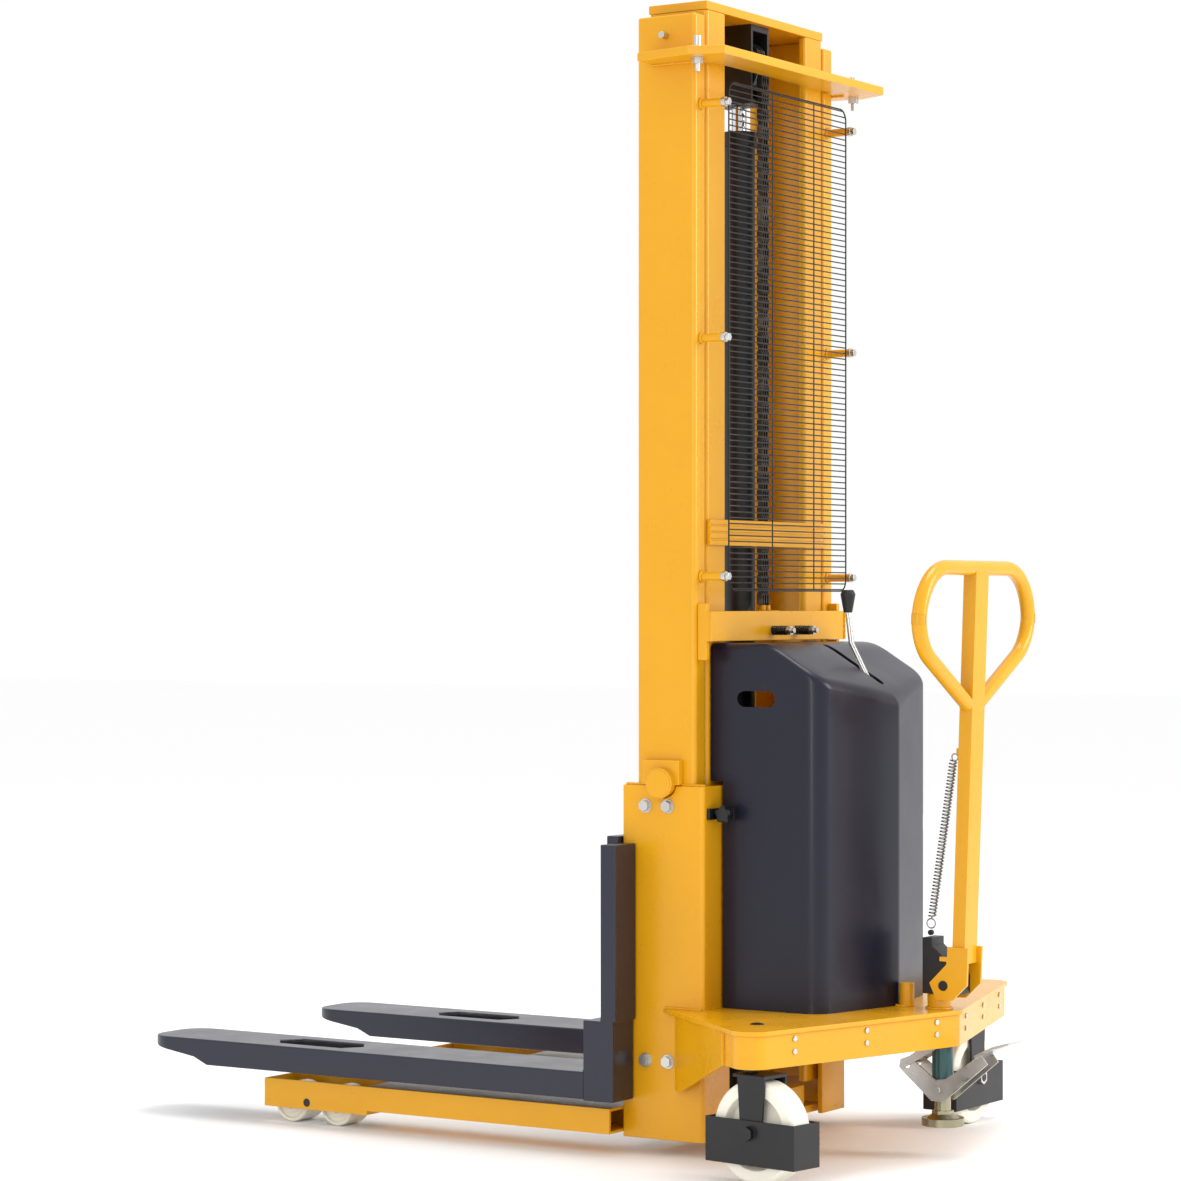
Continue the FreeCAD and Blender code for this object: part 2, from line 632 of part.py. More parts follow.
def roller_pair(x0, x1, bore):
    w = x1 - x0
    prof = [(bore, 0), (roller_r - 2, 0), (roller_r, 2), (roller_r, w - 2), (roller_r - 2, w), (bore, w)]
    out = []
    for s in (-1, 1):
        o = lathe(prof)
        place(o, -x1 if s < 0 else x0, 0, 0, (0, 1, 0), 90)
        out.append(o)
    return group(*out)
sub("mast_rollers", roller_pair(225, 247, 10.05), 0, -315, 150)
sub("carriage_rollers_upper", roller_pair(171, 203, 12.05), 0, -315, 500)
sub("carriage_rollers_lower", roller_pair(171, 203, 12.05), 0, -315, 210)

# lift cylinder, rod, chain yoke, pulley and the chain's two falls
sub("lift_cylinder", fuse(
    cut(fuse(cyl("z", 0, -cyl_y, foot_top, cyl_r, 1860 - foot_top.v), cyl("z", 0, -cyl_y, 1860, cyl_r + 4, 27)),
        cyl("z", 0, -cyl_y, 380, rod_r + 0.05, 1600)),
    box(-12, 12, -cyl_y - 50, -cyl_y - 28, 90, 120)))
sub("piston_rod", cyl("z", 0, -cyl_y, 400, rod_r, 1537), keep=True)
sub("pulley_yoke", fuse(
    cut(box(-33, 33, -363.8, -274.2, 1937, inner_top), box(-27, 27, -372, -266, 1946, 2072)),
    cyl("x", -33, -cyl_y - 1, pulley_z, 10, 66)))
pr = pulley_r
sub("chain_pulley", lathe([(10.05, -26), (20, -26), (20, -16), (pr + 5, -16), (pr + 5, -14.5), (pr, -14.5), (pr, 14.5), (pr + 5, 14.5), (pr + 5, 16), (20, 16), (20, 26), (10.05, 26)]),
    0, -cyl_y - 1, pulley_z, (0, 1, 0), 90)
cy0 = -cyl_y - 1
wrap = cut(cyl("x", -14, cy0, pulley_z, pr + 12, 28), cyl("x", -15, cy0, pulley_z, pr + 0.3, 30), box(-20, 20, cy0 - 80, cy0 + 80, pulley_z - 80, pulley_z))
sub("chain_front", fuse(wrap, box(-14, 14, cy0 + pr + 0.3, cy0 + pr + 12, 232, pulley_z)))
sub("chain_rear", box(-14, 14, cy0 - pr - 12, cy0 - pr - 0.3, 1000, pulley_z), keep=True)

# ================================================================= carriage
cf = []
for s in (-1, 1):
    def bx(x0, x1, *r):
        return box(-x1, -x0, *r) if s < 0 else box(x0, x1, *r)
    cf.append(bx(275, fork_out, -260, -228, heel_top, upright_top))
    cf.append(bx(275, fork_out, -255, -232, 100, heel_top))
    cf.append(bx(275, fork_out, -232, -228, 150, heel_top))
    cf.append(bx(fork_in, fork_out, -228, -191, fork_top - 2, heel_top))
    cf.append(bx(fork_out - fork_wall, fork_out, -232, -191, 100, fork_top - 2))
    cf.append(bx(fork_in, fork_in + fork_wall, -228, -191, 100, fork_top - 2))
cf.append(box(-285, 285, -228, -204, 500, 578))
cf.append(box(-fork_in, fork_in, -228, -200, fork_top - 2, heel_top))
cf.append(box(-20, 20, -274, -228, 182, 231.5))
sub("carriage_frame", fuse(*cf))
cb = []
for s in (-1, 1):
    x0 = -142 if s < 0 else 130
    cb.append(box(x0, x0 + 12, -350, -228, fork_top - 2, 578))
    for z in (210, 500):
        cb.append(cyl("x", -205 if s < 0 else 140, -315, z, 12, 65))
sub("carriage_brackets", group(fuse(*cb[:3]), fuse(*cb[3:])))

def fork(s):
    a, b = (-fork_out, -fork_in) if s < 0 else (fork_in, fork_out)
    c = E(s) * (fork_in + fork_out) / 2
    plan = prism(XY, [(a, -191), (b, -191), (b, fork_tip), (a, fork_tip)], fork_bot - 20, fork_top + 20, rounds=[(52, [2, 3])])
    prof = prism(YZ, [(-191, fork_bot), (fork_tip - 150, fork_bot), (fork_tip - 118, fork_bot + 14), (fork_tip, fork_top - 18), (fork_tip, fork_top), (-191, fork_top)], a - 5, b + 5)
    body = common(plan, prof)
    hollow = box(a + fork_wall, b - fork_wall, -192, fork_tip - 160, fork_bot - 5, fork_top - fork_wall)
    hole = prism(XY, [(c - 37, 385), (c, 358), (c + 37, 385), (c + 37, 532), (c, 559), (c - 37, 532)], fork_top - 20, fork_top + 5)
    return cut(body, hollow, hole)
sub("fork_left", fork(-1))
sub("fork_right", fork(1))

# ============================================================ cover and power
def cover_plan(d, front):
    return [(-cover_x + d, front), (-cover_x + d, -606 + 0.79 * d), (0, -656 + 1.03 * d), (cover_x - d, -606 + 0.79 * d), (cover_x - d, front)]
def top_cut(dz):
    return prism(YZ, [(-490, 931 - dz), (-515, 922 - dz), (-552, 899 - dz), (-588, 877.5 - dz), (-619, 859 - dz), (-640, 842 - dz), (-658, 822 - dz), (-700, 780 - dz), (-700, 1000), (-490, 1000)], -300, 300)
outer_c = cut(prism(XY, cover_plan(0, -379), plate_top, 931, rounds=[(40, [1, 3]), (22, [2])]), top_cut(0))
inner_c = cut(prism(XY, cover_plan(4, -340), plate_top - 10, 927, rounds=[(36, [1, 3]), (18, [2])]), top_cut(4.6))
cover = cut(outer_c, inner_c,
            box(-230, 230, -405, -330, plate_top - 20, 680),
            box(-9, 9, -618, -500, 780, 960),
            box(-230, -190, -512, -436, 815, 845),
            box(190, 230, -512, -436, 815, 845),
            box(181, 199, -650, -590, 572, 610))
sub("rear_cover", cover)

# clamps that hold the cover's sides, and their hand screws
sub("cover_clamps", group(*[fuse(box(s * 215 - 7, s * 215 + 7, -436, -406, 612, 632), box(s * 239 - 19, s * 239 + 19, -406, -400, 612, 632)) for s in (-1, 1)]))
def hand_screw(s):
    x0 = -222 - 26 if s < 0 else 222
    parts = [cyl("x", x0 if s > 0 else -222 - 8, -424, 622, 7, 8)]
    hx = 230 if s > 0 else -230 - 14
    parts.append(cyl("x", hx, -424, 622, 12, 14))
    for k in range(5):
        a = math.radians(72 * k + 90)
        parts.append(cyl("x", hx + 1, -424 + 11.5 * math.cos(a), 622 + 11.5 * math.sin(a), 5, 12))
    return fuse(*parts)
sub("cover_screw_left", hand_screw(-1))
sub("cover_screw_right", hand_screw(1))

sub("battery", fuse(box(-188, -12, -560, -410, plate_top, 470), box(-60, -40, -500, -470, 470, 482), box(-160, -140, -500, -470, 470, 482)))
sub("pump_motor", fuse(cyl("z", 105, -480, 340, 48, 150), cyl("z", 105, -480, 490, 40, 12)))
sub("power_pack", fuse(
    box(20, 188, -560, -412, plate_top, 340),
    box(24, 32, -600, -540, plate_top, 792),
    cyl("x", -12, -590, 775, 5, 38)))

# lift control lever: eye on the valve pin, bent rod, tapered knob
def rod_between(p, q, r):
    d = V3(*q) - V3(*p)
    o = doc.addObject("Part::Cylinder", tmp("cyl"))
    o.Radius, o.Height = r, d.Length
    o.Placement = FreeCAD.Placement(V3(*p), FreeCAD.Rotation(V3(0, 0, 1), d))
    return o
def ball(p, r):
    o = doc.addObject("Part::Sphere", tmp("ball"))
    o.Radius = r
    o.Placement = FreeCAD.Placement(V3(*p), FreeCAD.Rotation())
    return o
lp = [(0, -590, 775), (0, -590, 868), (0, -557, 930), (0, -550, 985.2)]
lever = cut(fuse(cyl("x", -10, -590, 775, 11, 20), rod_between(lp[0], lp[1], 5), rod_between(lp[1], lp[2], 5), rod_between(lp[2], lp[3], 5),
                 ball(lp[1], 5), ball(lp[2], 5)), cyl("x", -15, -590, 775, 5.05, 30))
sub("control_lever", lever)
sub("lever_knob", fuse(cone("z", 0, -550, 986, 8, 14, 34), cone("z", 0, -550, 1020, 14, 10, 8)))

# ================================================================ tow handle
# pivot block on the boss, with its cross pin
blk = prism(YZ, [(-716, 296.5), (-716, 398), (-735, 398), (-735, 384), (-775, 350), (-788, 330), (-788, 296.5)], -24.5, 24.5)
sub("handle_pivot_block", fuse(blk, cyl("x", -33, -pin_y, pin_z, pin_r, 66), cyl("x", -4, -721, 405, 5, 8)))

# handle, built about its pin: two cheeks, flat post, bent loop
def loop_half(s):
    y = -786.5 + 761.0
    z0 = -pin_z.v
    pts = [V3(0, y, loop_top.v + z0), V3(s * loop_x.v, y, loop_top.v + z0), V3(s * loop_x.v, y, loop_low.v + z0), V3(0, y, loop_v.v + z0)]
    radii = [None, 100.0, 90.0, None]
    edges = []
    last = pts[0]
    for i in (1, 2):
        a = (pts[i - 1] - pts[i]).normalize()
        b = (pts[i + 1] - pts[i]).normalize()
        half = a.getAngle(b) / 2
        t = radii[i] / math.tan(half)
        p, q = pts[i] + a * t, pts[i] + b * t
        mid = pts[i] + (a + b).normalize() * (radii[i] / math.sin(half) - radii[i])
        edges.append(Part.LineSegment(last, p).toShape())
        edges.append(Part.Arc(p, mid, q).toShape())
        last = q
    edges.append(Part.LineSegment(last, pts[3]).toShape())
    path = Part.Wire(edges)
    ring_ = Part.Wire([Part.Circle(pts[0], V3(s, 0, 0), loop_tube.v).toShape()])
    return path.makePipeShell([ring_], True, False)
cheek_pts = [(-6, 71), (-47, 71), (-47, 4), (-19, -25), (13, -27), (28, 3), (-5, 39), (-5, 44), (9, 44), (9, 52), (-6, 52)]
hp = [scripted(loop_half(-1)), scripted(loop_half(1)), box(-post_w / 2, post_w / 2, -38, -38 + post_d, 41, loop_top - pin_z)]
for x in (-31, 25):
    hp.append(prism(YZ, cheek_pts, x, x + 6, holes=[(0, 0, pin_r + 0.05)]))
hp.append(box(-3, 3, -14, 2, 416, 428))
sub("tow_handle", fuse(*hp), 0, -pin_y, pin_z, (1, 0, 0), 2.0)
sub("handle_spring", fuse(rod_between((0, -721, 410.4), (0, -724, 434), 1.6), rod_between((0, -723.7, 432), (0, -766.5, 720), 10.5), rod_between((0, -766, 718), (0, -772, 726), 1.6)))

# ================================================================ floor lock
lkx = 20.5
tube = cut(cyl("z", 0, -lock_y, 136, lock_tube_r, plate_top - plate_t - 136), cyl("z", 0, -lock_y, 130, lock_rod + 0.05, 115))
tube = fuse(tube, cyl("x", -24, -lock_y, 208, 5, 24 - 19), cyl("x", 19, -lock_y, 208, 5, 5))
sub("floor_lock_tube", tube)
foot = cut(fuse(cyl("z", 0, -lock_y, 70, lock_rod, 165), cyl("z", 0, -lock_y, 57, 38.5, 14), cone("z", 0, -lock_y, 71, 30, 19, 7), hexa("z", 0, -lock_y, 76, 20, 8)),
           cyl("x", -30, -lock_y, 123, 6.05, 60))
sub("floor_lock_foot", foot)
arm = [(-696, 175), (-686, 180), (-671, 174), (-668, 160), (-676, 152), (-733, 103), (-757, 101), (-846, 176), (-833, 193), (-762, 144), (-742, 141)]
pedal = [prism(YZ, arm, x, x + 3.5, holes=[(-683.3, 165.5, 7.4)]) for x in (-24, 20.5)]
tread = prism(YZ, [(-822, 184), (-858, 204), (-889, 213), (-889, 217), (-857, 209), (-820, 190)], -26, 26)
sub("floor_lock_pedal", fuse(pedal[0], pedal[1], tread, cyl("x", -27, -lock_y, 123, 6, 54)))
dl = (8 * 0.8238, 8 * 0.5668)
lk = [(-683.3 + 6, 165.5 - 8), (-683.3 + 8, 165.5 + 5), (-745 + 4, 208 + 9), (-745 - 8, 208 + 3), (-745 - 4, 208 - 8)]
links = [prism(YZ, lk, x, x + 3) for x in (-27.5, 24.5)]
sub("floor_lock_link", fuse(links[0], links[1], cyl("x", -29, -683.3, 165.5, 3, 58)))

# ---------------------------------------------------------------- check, write
doc.recompute()
bad = [o.Label for o in doc.Objects if any(st in ("Invalid", "Error") for st in o.State)]
if bad:
    raise SystemExit("failed: " + ", ".join(bad))
labels = set()
wrong = []
lo, hi = [1e9] * 3, [-1e9] * 3
for label, obj in SUB:
    sh = obj.Shape
    if sh.isNull() or not sh.isValid() or not sh.Solids or label in labels:
        wrong.append(label)
        continue
    labels.add(label)
    b = sh.BoundBox
    for i, (a, c) in enumerate(((b.XMin, b.XMax), (b.YMin, b.YMax), (b.ZMin, b.ZMax))):
        lo[i], hi[i] = min(lo[i], a), max(hi[i], c)
    sh.exportStep("parts/%s.step" % label)
if wrong:
    raise SystemExit("bad sub-parts: " + ", ".join(wrong))
print("sub-parts:", len(SUB), "box:", [round(v, 2) for v in lo], [round(v, 2) for v in hi])
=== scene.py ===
import bpy
import bmesh
import json
import math
import numpy as np
from mathutils import Vector, Matrix


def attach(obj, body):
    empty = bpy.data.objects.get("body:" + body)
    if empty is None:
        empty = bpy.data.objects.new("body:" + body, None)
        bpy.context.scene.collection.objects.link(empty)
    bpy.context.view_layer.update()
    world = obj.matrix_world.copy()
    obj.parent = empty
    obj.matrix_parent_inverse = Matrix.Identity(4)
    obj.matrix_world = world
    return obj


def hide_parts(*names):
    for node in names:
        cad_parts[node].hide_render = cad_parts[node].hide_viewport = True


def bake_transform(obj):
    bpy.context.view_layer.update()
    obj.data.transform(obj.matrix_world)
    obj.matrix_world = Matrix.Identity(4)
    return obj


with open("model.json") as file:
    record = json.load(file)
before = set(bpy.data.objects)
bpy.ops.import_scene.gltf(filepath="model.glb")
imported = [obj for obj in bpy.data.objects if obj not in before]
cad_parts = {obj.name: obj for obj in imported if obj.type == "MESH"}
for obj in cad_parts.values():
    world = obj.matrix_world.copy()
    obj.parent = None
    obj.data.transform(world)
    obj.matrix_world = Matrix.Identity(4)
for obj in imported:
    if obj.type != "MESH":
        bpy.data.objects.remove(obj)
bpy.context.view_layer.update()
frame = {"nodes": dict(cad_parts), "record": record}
NODES = frame["nodes"]
REC = frame["record"]
SLOT = {e["node"]: e["material_slot"] for e in REC["subparts"]}
BODY = {}
for b, ns in REC["behaviour"]["bodies"].items():
    for n in ns:
        BODY[n] = b
COL = bpy.context.scene.collection
bpy.context.scene.view_settings.view_transform = "Standard"
bpy.context.scene.view_settings.look = "None"


# ------------------------------------------------------------------ materials
def new_mat(name):
    m = bpy.data.materials.new(name)
    m.use_nodes = True
    nt = m.node_tree
    return m, nt, nt.nodes["Principled BSDF"]


def lin(c):
    return tuple((v / 12.92 if v <= 0.04045 else ((v + 0.055) / 1.055) ** 2.4) for v in c) + (1.0,)


def node(nt, kind, **kw):
    n = nt.nodes.new(kind)
    for k, v in kw.items():
        setattr(n, k, v)
    return n


def noise(nt, coord, scale, detail=4.0, rough=0.55, stretch=None):
    n = node(nt, "ShaderNodeTexNoise")
    n.inputs["Scale"].default_value = scale
    n.inputs["Detail"].default_value = detail
    n.inputs["Roughness"].default_value = rough
    if stretch:
        mp = node(nt, "ShaderNodeMapping")
        mp.inputs["Scale"].default_value = stretch
        nt.links.new(coord, mp.inputs["Vector"])
        coord = mp.outputs["Vector"]
    nt.links.new(coord, n.inputs["Vector"])
    return n.outputs["Fac"]


def ramp(nt, fac, a, b, ca=(0, 0, 0, 1), cb=(1, 1, 1, 1)):
    r = node(nt, "ShaderNodeValToRGB")
    r.color_ramp.elements[0].position, r.color_ramp.elements[1].position = a, b
    r.color_ramp.elements[0].color, r.color_ramp.elements[1].color = ca, cb
    nt.links.new(fac, r.inputs["Fac"])
    return r.outputs["Color"]


def mix(nt, fac, a, b, mode="MIX"):
    m = node(nt, "ShaderNodeMix", data_type="RGBA", blend_type=mode)
    if isinstance(fac, float):
        m.inputs[0].default_value = fac
    else:
        nt.links.new(fac, m.inputs[0])
    for i, v in ((6, a), (7, b)):
        if isinstance(v, tuple):
            m.inputs[i].default_value = v
        else:
            nt.links.new(v, m.inputs[i])
    return m.outputs[2]


def mul(nt, a, b):
    m = node(nt, "ShaderNodeMath", operation="MULTIPLY")
    for i, v in ((0, a), (1, b)):
        if isinstance(v, float):
            m.inputs[i].default_value = v
        else:
            nt.links.new(v, m.inputs[i])
    return m.outputs[0]


def surface(name, base, rough, metal=0.0, vary=0.10, vscale=3.0, bump=0.05, bscale=350.0, bdist=0.0004,
            worn=None, worn_amount=0.5, coat=0.0, hollow_dust_and_shade=None, brushed=None, spots=0.0, rough_var=0.12, clear_ior=1.5):
    """Base colour with slow colour drift, fine speckle, bump, worn edges and a tint in the concave hollows: lighter
    dust on the dark paints, painted shade (a darker orange) on the yellow paint.
    """
    m, nt, p = new_mat(name)
    tc = node(nt, "ShaderNodeTexCoord").outputs["Object"]
    base4 = lin(base)
    dark = tuple(v * (1 - vary) for v in base4[:3]) + (1.0,)
    light = tuple(min(1.0, v * (1 + vary * 0.6)) for v in base4[:3]) + (1.0,)
    slow = noise(nt, tc, vscale, 5.0, 0.6)
    c = mix(nt, ramp(nt, slow, 0.3, 0.7), dark, light)
    fine = noise(nt, tc, 60.0, 6.0, 0.7)
    c = mix(nt, mul(nt, ramp(nt, fine, 0.45, 0.75), 0.10), c, dark)
    geo = node(nt, "ShaderNodeNewGeometry")
    if hollow_dust_and_shade:
        # tint mixed into concave hollows (low pointiness): real dust where it is lighter than the paint, painted shade
        # where it is a darker copy of the paint (the yellow)
        hollow_dust_and_shade_mask = ramp(nt, geo.outputs["Pointiness"], 0.40, 0.49, (1, 1, 1, 1), (0, 0, 0, 1))
        c = mix(nt, mul(nt, hollow_dust_and_shade_mask, 0.35), c, lin(hollow_dust_and_shade))
    if spots:
        sp = ramp(nt, noise(nt, tc, 28.0, 8.0, 0.8), 0.66, 0.74)
        c = mix(nt, mul(nt, sp, spots), c, dark)
    r0 = ramp(nt, noise(nt, tc, vscale * 4.0, 6.0, 0.6), 0.25, 0.75, (rough - rough_var / 2,) * 3 + (1,), (rough + rough_var / 2,) * 3 + (1,))
    rr = r0
    if worn:
        edge = ramp(nt, geo.outputs["Pointiness"], 0.56, 0.64)
        patch = ramp(nt, noise(nt, tc, 9.0, 8.0, 0.75), 0.50, 0.62)
        w = mul(nt, mul(nt, edge, patch), worn_amount)
        c = mix(nt, w, c, lin(worn))
    nt.links.new(c, p.inputs["Base Color"])
    nt.links.new(rr, p.inputs["Roughness"])
    p.inputs["Metallic"].default_value = metal
    p.inputs["Coat Weight"].default_value = coat
    p.inputs["Coat Roughness"].default_value = 0.12
    p.inputs["IOR"].default_value = clear_ior
    h = noise(nt, tc, bscale, 3.0, 0.5, brushed)
    b = node(nt, "ShaderNodeBump")
    b.inputs["Strength"].default_value = bump
    b.inputs["Distance"].default_value = bdist
    nt.links.new(h, b.inputs["Height"])
    b2 = node(nt, "ShaderNodeBump")
    b2.inputs["Strength"].default_value = min(1.0, bump * 1.2)
    b2.inputs["Distance"].default_value = bdist * 4
    nt.links.new(noise(nt, tc, 14.0, 3.0, 0.5), b2.inputs["Height"])
    nt.links.new(b.outputs["Normal"], b2.inputs["Normal"])
    nt.links.new(b2.outputs["Normal"], p.inputs["Normal"])
    return m


M = {
    # the yellow's hollow colour (0.55, 0.36, 0.10) is a darker orange of the same paint: painted shade in creases and
    # recesses
    "yellow_paint": surface("yellow_paint", (0.88, 0.63, 0.05), 0.30, vary=0.06, bump=0.10, bscale=420, coat=0.15, clear_ior=1.4,
                            worn=(0.50, 0.42, 0.30), worn_amount=0.35, hollow_dust_and_shade=(0.55, 0.36, 0.10)),
    "navy_paint": surface("navy_paint", (0.085, 0.085, 0.17), 0.34, vary=0.10, bump=0.14, bscale=260, coat=0.15,
                          worn=(0.42, 0.42, 0.45), worn_amount=0.30, hollow_dust_and_shade=(0.13, 0.13, 0.17)),
    "cover_satin": surface("cover_satin", (0.065, 0.065, 0.14), 0.36, vary=0.08, vscale=2.0, bump=0.16, bscale=300, coat=0.10, clear_ior=1.4,
                           hollow_dust_and_shade=(0.13, 0.13, 0.17), rough_var=0.08),
    "black_paint": surface("black_paint", (0.05, 0.045, 0.06), 0.42, vary=0.15, bump=0.2, bscale=220,
                           worn=(0.38, 0.38, 0.38), worn_amount=0.35, hollow_dust_and_shade=(0.11, 0.10, 0.10)),
    "zinc": surface("zinc", (0.80, 0.80, 0.79), 0.30, metal=1.0, vary=0.12, vscale=14, bump=0.12, bscale=500, spots=0.4,
                    hollow_dust_and_shade=(0.40, 0.38, 0.35)),
    "dark_wire": surface("dark_wire", (0.03, 0.03, 0.045), 0.38, vary=0.15, bump=0.15, bscale=600, metal=0.3,
                         worn=(0.4, 0.4, 0.42), worn_amount=0.3),
    "chrome": surface("chrome", (0.88, 0.88, 0.90), 0.10, metal=1.0, vary=0.05, bump=0.03, bscale=700, brushed=(1, 1, 0.05), rough_var=0.06),
    "nylon": surface("nylon", (0.945, 0.925, 0.865), 0.42, vary=0.06, vscale=9, bump=0.12, bscale=240, hollow_dust_and_shade=(0.62, 0.56, 0.46),
                     worn=(0.70, 0.66, 0.58), worn_amount=0.5),
    "roller_steel": surface("roller_steel", (0.52, 0.52, 0.53), 0.35, metal=1.0, vary=0.2, vscale=10, bump=0.15, bscale=500, spots=0.5,
                            hollow_dust_and_shade=(0.12, 0.10, 0.08)),
    "chain_steel": surface("chain_steel", (0.27, 0.26, 0.25), 0.42, metal=0.9, vary=0.25, vscale=18, bump=0.2, bscale=500, spots=0.6,
                           worn=(0.6, 0.58, 0.55), worn_amount=0.6, hollow_dust_and_shade=(0.08, 0.07, 0.05)),
    "teal_paint": surface("teal_paint", (0.07, 0.28, 0.28), 0.35, vary=0.12, bump=0.12, coat=0.3, worn=(0.5, 0.5, 0.5), hollow_dust_and_shade=(0.10, 0.25, 0.25)),
    "yellow_zinc": surface("yellow_zinc", (0.62, 0.60, 0.50), 0.30, metal=1.0, vary=0.22, vscale=20, bump=0.12, bscale=500, spots=0.5,
                           hollow_dust_and_shade=(0.35, 0.28, 0.15)),
    "battery_case": surface("battery_case", (0.09, 0.09, 0.10), 0.25, vary=0.1, bump=0.1, hollow_dust_and_shade=(0.2, 0.2, 0.2)),
    "black_plastic": surface("black_plastic", (0.075, 0.075, 0.08), 0.50, vary=0.12, bump=0.3, bscale=300, hollow_dust_and_shade=(0.2, 0.2, 0.2)),
    "spring_steel": surface("spring_steel", (0.66, 0.65, 0.64), 0.28, metal=1.0, vary=0.2, vscale=16, bump=0.12, bscale=500, hollow_dust_and_shade=(0.15, 0.14, 0.13)),
    "black_spring": surface("black_spring", (0.08, 0.08, 0.085), 0.35, metal=0.4, vary=0.2, vscale=16, bump=0.12, bscale=500),
}
OVERRIDE = {"rear_cover": "cover_satin", "adjuster_springs": "black_spring", "control_lever": "zinc"}


# ------------------------------------------------------------------- geometry
def mesh_obj(name, verts, faces, mat, smooth=40):
    me = bpy.data.meshes.new(name)
    me.from_pydata([tuple(map(float, v)) for v in verts], [], faces)
    me.validate()
    me.update()
    me.materials.append(M[mat])
    o = bpy.data.objects.new(name, me)
    COL.objects.link(o)
    fix_normals(me)
    shade(o, smooth)
    return o


def fix_normals(me):
    bm = bmesh.new()
    bm.from_mesh(me)
    bmesh.ops.recalc_face_normals(bm, faces=bm.faces)
    bm.to_mesh(me)
    bm.free()


def shade(o, angle=40):
    me = o.data
    for p in me.polygons:
        p.use_smooth = True
    me.set_sharp_from_angle(angle=math.radians(angle))


BIG = {"outer_mast_channels": (0.260, (-0.349, -0.225), 0.014), "inner_mast_channels": (0.218, (-0.349, -0.225), 0.013)}


def refine(name, width=0.0012, seg=2, angle=32, mat=None, min_edge=0.0):
    """A detailed twin of a design piece: clean faces, rolled edges, procedural finish."""
    src = NODES[name]
    me = src.data.copy()
    me.materials.clear()
    bm = bmesh.new()
    bm.from_mesh(me)
    bmesh.ops.remove_doubles(bm, verts=bm.verts, dist=2e-5)
    bmesh.ops.dissolve_limit(bm, angle_limit=math.radians(0.6), verts=bm.verts, edges=bm.edges, delimit={"NORMAL"})
    bmesh.ops.recalc_face_normals(bm, faces=bm.faces)
    lo = [min(v.co[i] for v in bm.verts) for i in range(3)]
    hi = [max(v.co[i] for v in bm.verts) for i in range(3)]
    if width > 0:
        keep = bm.copy()
        try:
            if name in BIG:
                xo, ys, rad = BIG[name]
                big = [e for e in bm.edges if len(e.link_faces) == 2 and e.calc_face_angle(0) > 1.0 and e.calc_length() > 0.5
                       and all(abs(abs(v.co.x) - xo) < 2e-4 and min(abs(v.co.y - y) for y in ys) < 2e-4 for v in e.verts)]
                bmesh.ops.bevel(bm, geom=big, offset=rad, offset_type="OFFSET", segments=6, profile=0.5, affect="EDGES", clamp_overlap=False)
            es = [e for e in bm.edges if len(e.link_faces) == 2 and e.calc_face_angle(0) > math.radians(angle)]
            bmesh.ops.bevel(bm, geom=es, offset=width, offset_type="OFFSET", segments=seg, profile=0.6, affect="EDGES", clamp_overlap=True)
            l2 = [min(v.co[i] for v in bm.verts) for i in range(3)]
            h2 = [max(v.co[i] for v in bm.verts) for i in range(3)]
            if any(l2[i] < lo[i] - 1e-5 or h2[i] > hi[i] + 1e-5 for i in range(3)):
                raise ValueError("grew")
            keep.free()
        except Exception as e:
            print("plain edges on", name, e)
            bm.free()
            bm = keep
    bm.to_mesh(me)
    bm.free()
    me.materials.append(M[mat or OVERRIDE.get(name) or SLOT[name]])
    for p in me.polygons:
        p.material_index = 0
    o = bpy.data.objects.new("v_" + name, me)
    COL.objects.link(o)
    o.matrix_world = src.matrix_world
    shade(o, 38)
    wn = o.modifiers.new("wn", "WEIGHTED_NORMAL")
    wn.keep_sharp = True
    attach(o, BODY[name])
    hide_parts(name)
    return o


def tube(points, r, n=10, closed=False, ripple=0.0, cap=True):
    """Round wire through points; ripple makes a weld bead."""
    P = [np.array(p, float) for p in points]
    m = len(P)
    verts, faces = [], []
    up = None
    for i in range(m):
        a = P[(i - 1) % m] if (closed or i > 0) else P[i]
        b = P[(i + 1) % m] if (closed or i < m - 1) else P[i]
        t = b - a
        t = t / (np.linalg.norm(t) + 1e-12)
        if up is None:
            up = np.array([0.0, 0.0, 1.0]) if abs(t[2]) < 0.9 else np.array([1.0, 0.0, 0.0])
        u = up - t * np.dot(up, t)
        u /= np.linalg.norm(u) + 1e-12
        up = u
        w = np.cross(t, u)
        rr = r * (1 + ripple * math.sin(i * 2.1) + ripple * 0.5 * math.sin(i * 5.3))
        for k in range(n):
            q = 2 * math.pi * k / n
            verts.append(P[i] + rr * (math.cos(q) * u + math.sin(q) * w))
    for i in range(m if closed else m - 1):
        j = (i + 1) % m
        for k in range(n):
            k2 = (k + 1) % n
            faces.append((i * n + k, i * n + k2, j * n + k2, j * n + k))
    if cap and not closed:
        faces.append(tuple(range(n - 1, -1, -1)))
        faces.append(tuple((m - 1) * n + k for k in range(n)))
    return verts, faces


def join(parts):
    V, F = [], []
    for v, f in parts:
        o = len(V)
        V += list(v)
        F += [tuple(i + o for i in q) for q in f]
    return V, F


def line(a, b, n):
    a, b = np.array(a, float), np.array(b, float)
    return [a + (b - a) * i / n for i in range(n + 1)]


def weld(name, paths, body, r=0.0026, mat="yellow_paint"):
    parts = []
    for pts, closed in paths:
        parts.append(tube(pts, r, 8, closed, ripple=0.16))
    v, f = join(parts)
    o = mesh_obj(name, v, f, mat, 80)
    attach(o, body)
    return o


def circle(c, r, axis="z", n=48, a0=0.0, a1=2 * math.pi, closed=True):
    out = []
    m = n if closed else n + 1
    for i in range(m):
        a = a0 + (a1 - a0) * i / n
        s, q = r * math.cos(a), r * math.sin(a)
        out.append({"z": (c[0] + s, c[1] + q, c[2]), "x": (c[0], c[1] + s, c[2] + q), "y": (c[0] + s, c[1], c[2] + q)}[axis])
    return out


